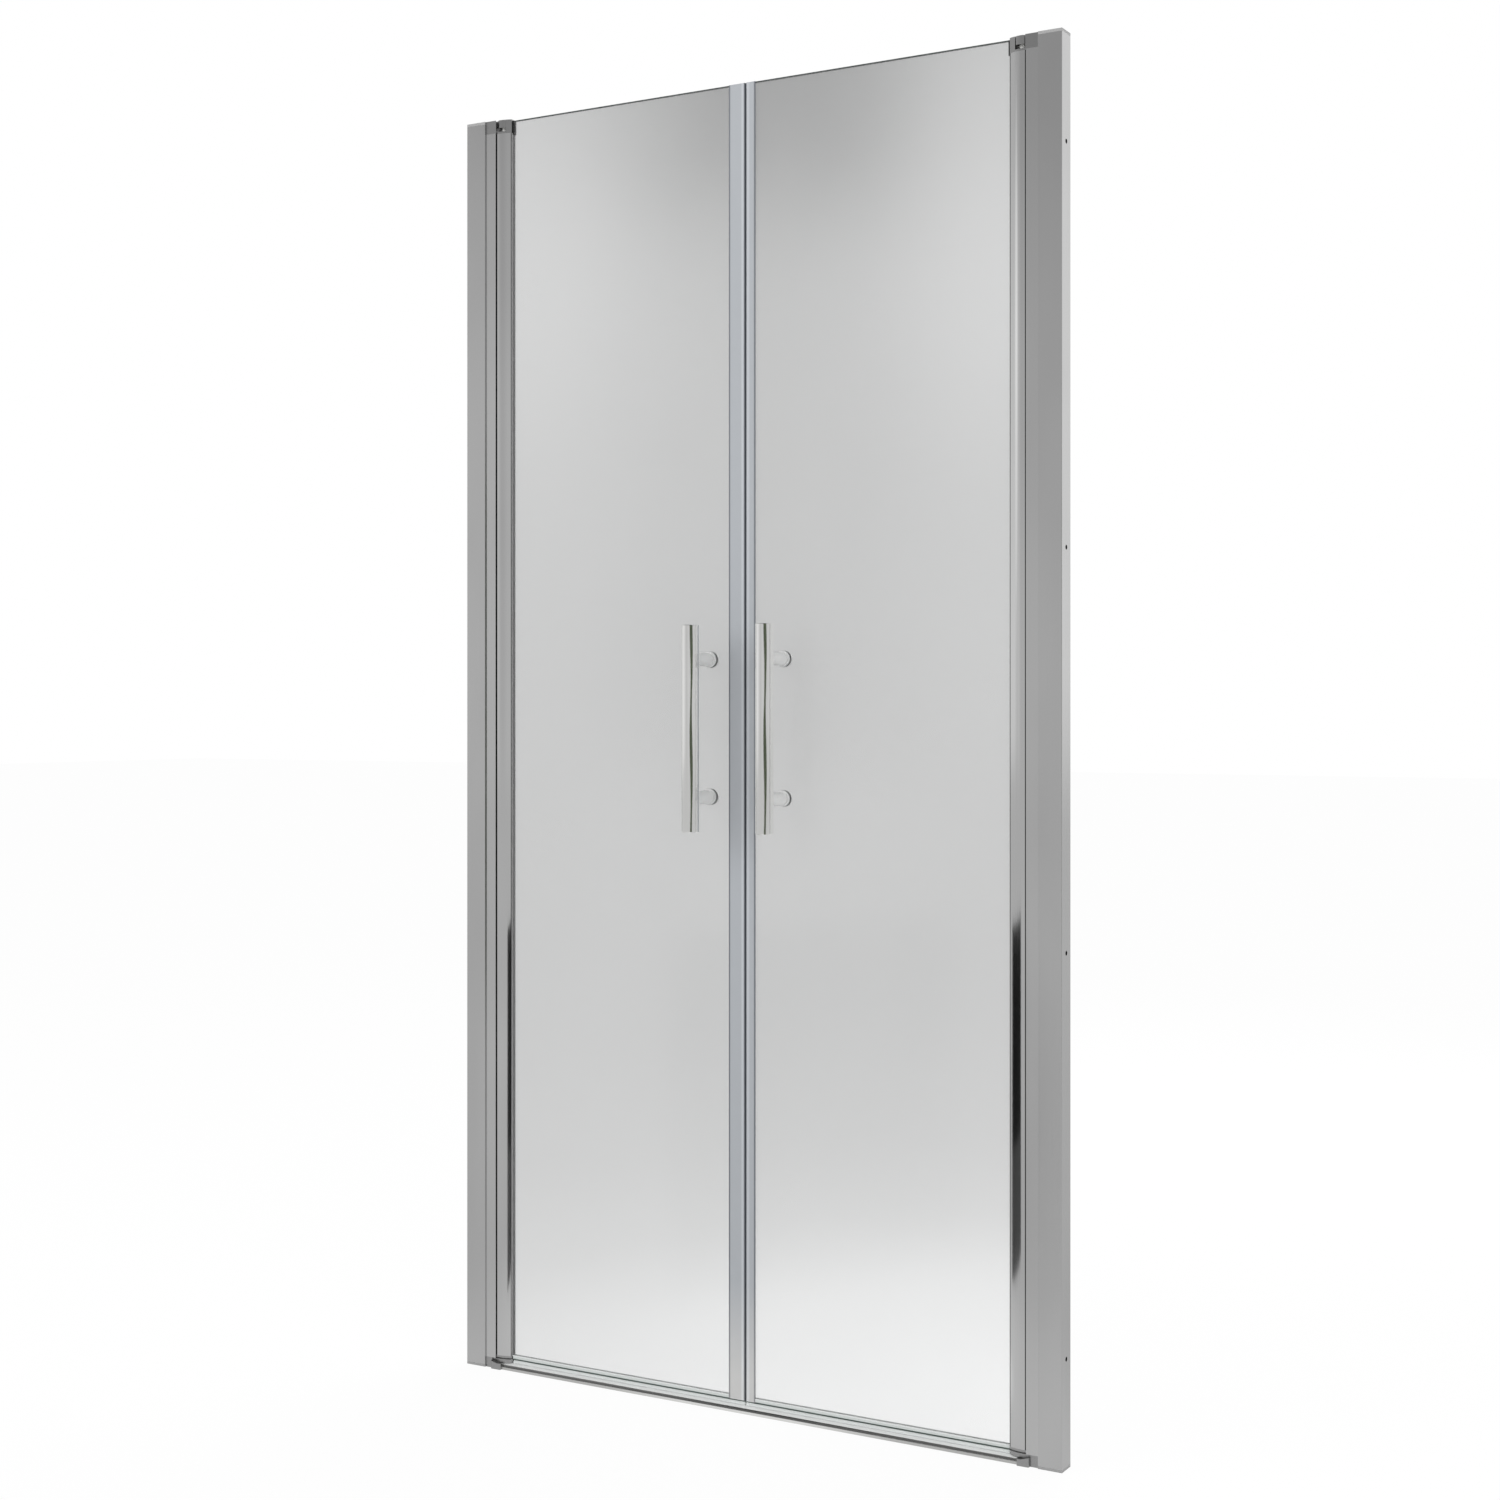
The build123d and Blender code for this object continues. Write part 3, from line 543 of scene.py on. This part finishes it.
def make_slot_shade_blocks(side, body):
    """Two small near-black blocks of painted shade beside the cap, one on each face of the glass."""
    bm = bmesh.new()
    for face in (-1, 1):
        block = bmesh.ops.create_cube(bm, size=1)["verts"]
        bmesh.ops.scale(bm, vec=(corner_w, corner_t, corner_h), verts=block)
        across = side * (corner_x + corner_w / 2)
        out = face * (corner_y + corner_t / 2)
        bmesh.ops.translate(bm, vec=(across, out, corner_top - corner_h / 2), verts=block)
    piece = place_mesh(bm, body + "_slot_shade_block")
    piece.data.materials.append(slot_shade_block)
    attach(piece, body)


make_slot_shade_blocks(-1, "left_leaf")
make_slot_shade_blocks(1, "right_leaf")


# Helpers of the floor and the world

def towards(tree, direction, heading):
    """How closely a direction points along a heading: 1 when it does."""
    return vector_maths(tree, "DOT_PRODUCT", direction, heading).outputs["Value"]


def distance_from(tree, spot):
    """Distance on the floor from a spot, as a share of the floor's reach."""
    coords = tree.nodes.new("ShaderNodeTexCoord")
    moved = vector_maths(tree, "SUBTRACT", coords.outputs["Object"], spot)
    length = vector_maths(tree, "LENGTH", moved.outputs[0])
    return maths(tree, "DIVIDE", length.outputs["Value"], floor_reach)


# Floor

def make_floor():
    """A wide pale floor: white to the camera but for the soft shadow on it, toned in glass and metal."""
    bm = bmesh.new()
    bmesh.ops.create_grid(bm, x_segments=1, y_segments=1, size=floor_half)
    floor = place_mesh(bm, "floor")
    mat = bpy.data.materials.new("floor_white")
    mat.use_nodes = True
    tree = mat.node_tree
    tree.nodes.clear()
    out = tree.nodes.new("ShaderNodeOutputMaterial")
    mix = tree.nodes.new("ShaderNodeMixShader")
    lit = tree.nodes.new("ShaderNodeBsdfDiffuse")
    lit.inputs["Color"].default_value = (*grey(floor_lit), 1)
    path = tree.nodes.new("ShaderNodeLightPath")
    seen = path.outputs["Is Camera Ray"]
    mirrored = path.outputs["Is Glossy Ray"]
    through = path.outputs["Is Transmission Ray"]
    behind_glass = grey_steps(tree, distance_from(tree, glass_spot), glass_floor)
    in_metal = grey_steps(tree, distance_from(tree, metal_spot), metal_floor)
    tone = mixed(tree, mirrored, plain(tree, grey(1)), in_metal)
    tone = mixed(tree, through, tone, behind_glass)
    glow = tree.nodes.new("ShaderNodeEmission")
    tree.links.new(tone, glow.inputs["Color"])
    shown = maths(tree, "MAXIMUM", maths(tree, "MAXIMUM", seen, through), mirrored)
    tree.links.new(maths(tree, "MULTIPLY", shown, floor_white_share), mix.inputs["Fac"])
    tree.links.new(lit.outputs[0], mix.inputs[1])
    tree.links.new(glow.outputs[0], mix.inputs[2])
    tree.links.new(mix.outputs[0], out.inputs["Surface"])
    floor.data.materials.append(mat)


make_floor()


# World

def make_world():
    """White to the camera, a pale light on matt pieces, and a soft studio in metal and glass."""
    world = bpy.data.worlds.new("studio")
    bpy.context.scene.world = world
    world.use_nodes = True
    tree = world.node_tree
    tree.nodes.clear()
    out = tree.nodes.new("ShaderNodeOutputWorld")
    path = tree.nodes.new("ShaderNodeLightPath")
    coords = tree.nodes.new("ShaderNodeTexCoord")
    direction = coords.outputs["Generated"]
    split = tree.nodes.new("ShaderNodeSeparateXYZ")
    tree.links.new(direction, split.inputs["Vector"])
    height = split.outputs["Z"]

    # What lights matt pieces
    raised = maths(tree, "MULTIPLY", maths(tree, "ADD", height, 1.0), 0.5)
    light = grey_steps(tree, raised, world_light)

    # What shows through glass: paler below, with a darker patch behind the meeting edges' upper end
    flat = vector_maths(tree, "MULTIPLY", direction, (1, 1, 0))
    level = vector_maths(tree, "NORMALIZE", flat.outputs[0])
    patch_side = grey_steps(tree, towards(tree, level.outputs[0], patch_heading), patch_steps)
    patch_share = maths(tree, "MULTIPLY", patch_side, grey_steps(tree, height, patch_heights))
    sky = grey_steps(tree, height, through_steps)
    through = mixed(tree, patch_share, sky, plain(tree, grey(patch_tone)))

    # What metal mirrors: front wall with a window, and the rear
    window_share = grey_steps(tree, towards(tree, direction, window_heading), window_steps)
    side = grey_steps(tree, maths(tree, "ADD", split.outputs["X"], 1.0), front_sides)
    wall = maths(tree, "MULTIPLY", side, grey_steps(tree, height, front_steps))
    front = mixed(tree, window_share, wall, plain(tree, grey(window_tone)))
    rear = grey_steps(tree, height, rear_steps)
    behind = grey_steps(tree, split.outputs["Y"], rear_blend)
    mirrored = mixed(tree, behind, front, rear)

    unseen = mixed(tree, path.outputs["Is Glossy Ray"], light, mirrored)
    unseen = mixed(tree, path.outputs["Is Transmission Ray"], unseen, through)
    soft = tree.nodes.new("ShaderNodeBackground")
    tree.links.new(unseen, soft.inputs["Color"])
    seen = tree.nodes.new("ShaderNodeBackground")
    seen.inputs["Color"].default_value = (1, 1, 1, 1)
    mix = tree.nodes.new("ShaderNodeMixShader")
    tree.links.new(path.outputs["Is Camera Ray"], mix.inputs["Fac"])
    tree.links.new(soft.outputs[0], mix.inputs[1])
    tree.links.new(seen.outputs[0], mix.inputs[2])
    tree.links.new(mix.outputs[0], out.inputs["Surface"])


make_world()


# Boards in front of the door, seen only in the metal

def make_board(name, outline, marks):
    """An upright board through outline corners that only mirroring surfaces show, toned by height."""
    bm = bmesh.new()
    bm.faces.new([bm.verts.new(corner) for corner in outline])
    board = place_mesh(bm, name)
    mat, tree, shader = new_finish(name + "_paint")
    tree.links.new(strip_tones(tree, "Z", marks), shader.inputs["Base Color"])
    shader.inputs["Roughness"].default_value = 0.9
    board.data.materials.append(mat)
    board.visible_camera = False
    board.visible_diffuse = False
    board.visible_transmission = False
    board.visible_shadow = False


def wavy_outline():
    """Corners of a tall board with two gently waving upright edges."""
    aim_x, aim_y = screen_heading
    corners = []
    for turn, phase in zip((-1, 1), screen_phases):
        edge = []
        for step in range(screen_steps + 1):
            height = screen_low + (screen_high - screen_low) * step / screen_steps
            half = turn * (screen_half + screen_wave * math.sin(screen_waves * height + phase))
            across = aim_x * screen_away - aim_y * half
            deep = aim_y * screen_away + aim_x * half
            edge.append((across, deep, height))
        corners += edge if turn == 1 else edge[::-1]
    return corners


dark_grey = grey(0.07)
black = grey(0.004)
make_board(
    "dark_board",
    [
        (*board_near, board_low),
        (*board_far, board_low),
        (*board_far, board_high),
        (*board_near, board_high),
    ],
    (
        (board_low, dark_grey),
        (board_grey_below - board_blend, dark_grey),
        (board_grey_below, black),
        (board_high, black),
    ),
)
deep_green = (0.06, 0.075, 0.045)
make_board("wavy_board", wavy_outline(), ((screen_low, deep_green), (screen_high, deep_green)))


# Lamps

def soft_lamp(name, place, aim, size, power):
    """A large square lamp that lights without showing in metal or glass."""
    data = bpy.data.lights.new(name, "AREA")
    data.shape = "SQUARE"
    data.size = size
    data.energy = power
    lamp = bpy.data.objects.new(name, data)
    bpy.context.scene.collection.objects.link(lamp)
    lamp.location = place
    x, y, z = (to - start for to, start in zip(aim, place))
    lamp.rotation_euler = (math.atan2(math.hypot(x, y), -z), 0, math.atan2(y, x) - math.pi / 2)
    lamp.visible_glossy = False
    lamp.visible_transmission = False
    lamp.visible_camera = False


soft_lamp("key", place=(-2.2, -3.2, 3.2), aim=(0, 0, 0.9), size=2.6, power=55)
soft_lamp("fill", place=(3.0, -2.4, 2.2), aim=(0, 0, 0.9), size=2.4, power=40)
soft_lamp("back", place=(0.5, 3.2, 2.8), aim=(0, 0, 0.8), size=2.6, power=60)


# Camera

camera_data = bpy.data.cameras.new("view")
camera_data.sensor_width = sensor_width
camera_data.lens = focal_pixels / picture_width * sensor_width
camera_data.shift_y = -(picture_middle - horizon_row) / picture_width
camera = bpy.data.objects.new("view", camera_data)
bpy.context.scene.collection.objects.link(camera)
camera.location = camera_place
camera.rotation_euler = (math.radians(90), 0, math.radians(camera_heading))
bpy.context.scene.camera = camera

bpy.context.scene.view_settings.view_transform = "Standard"
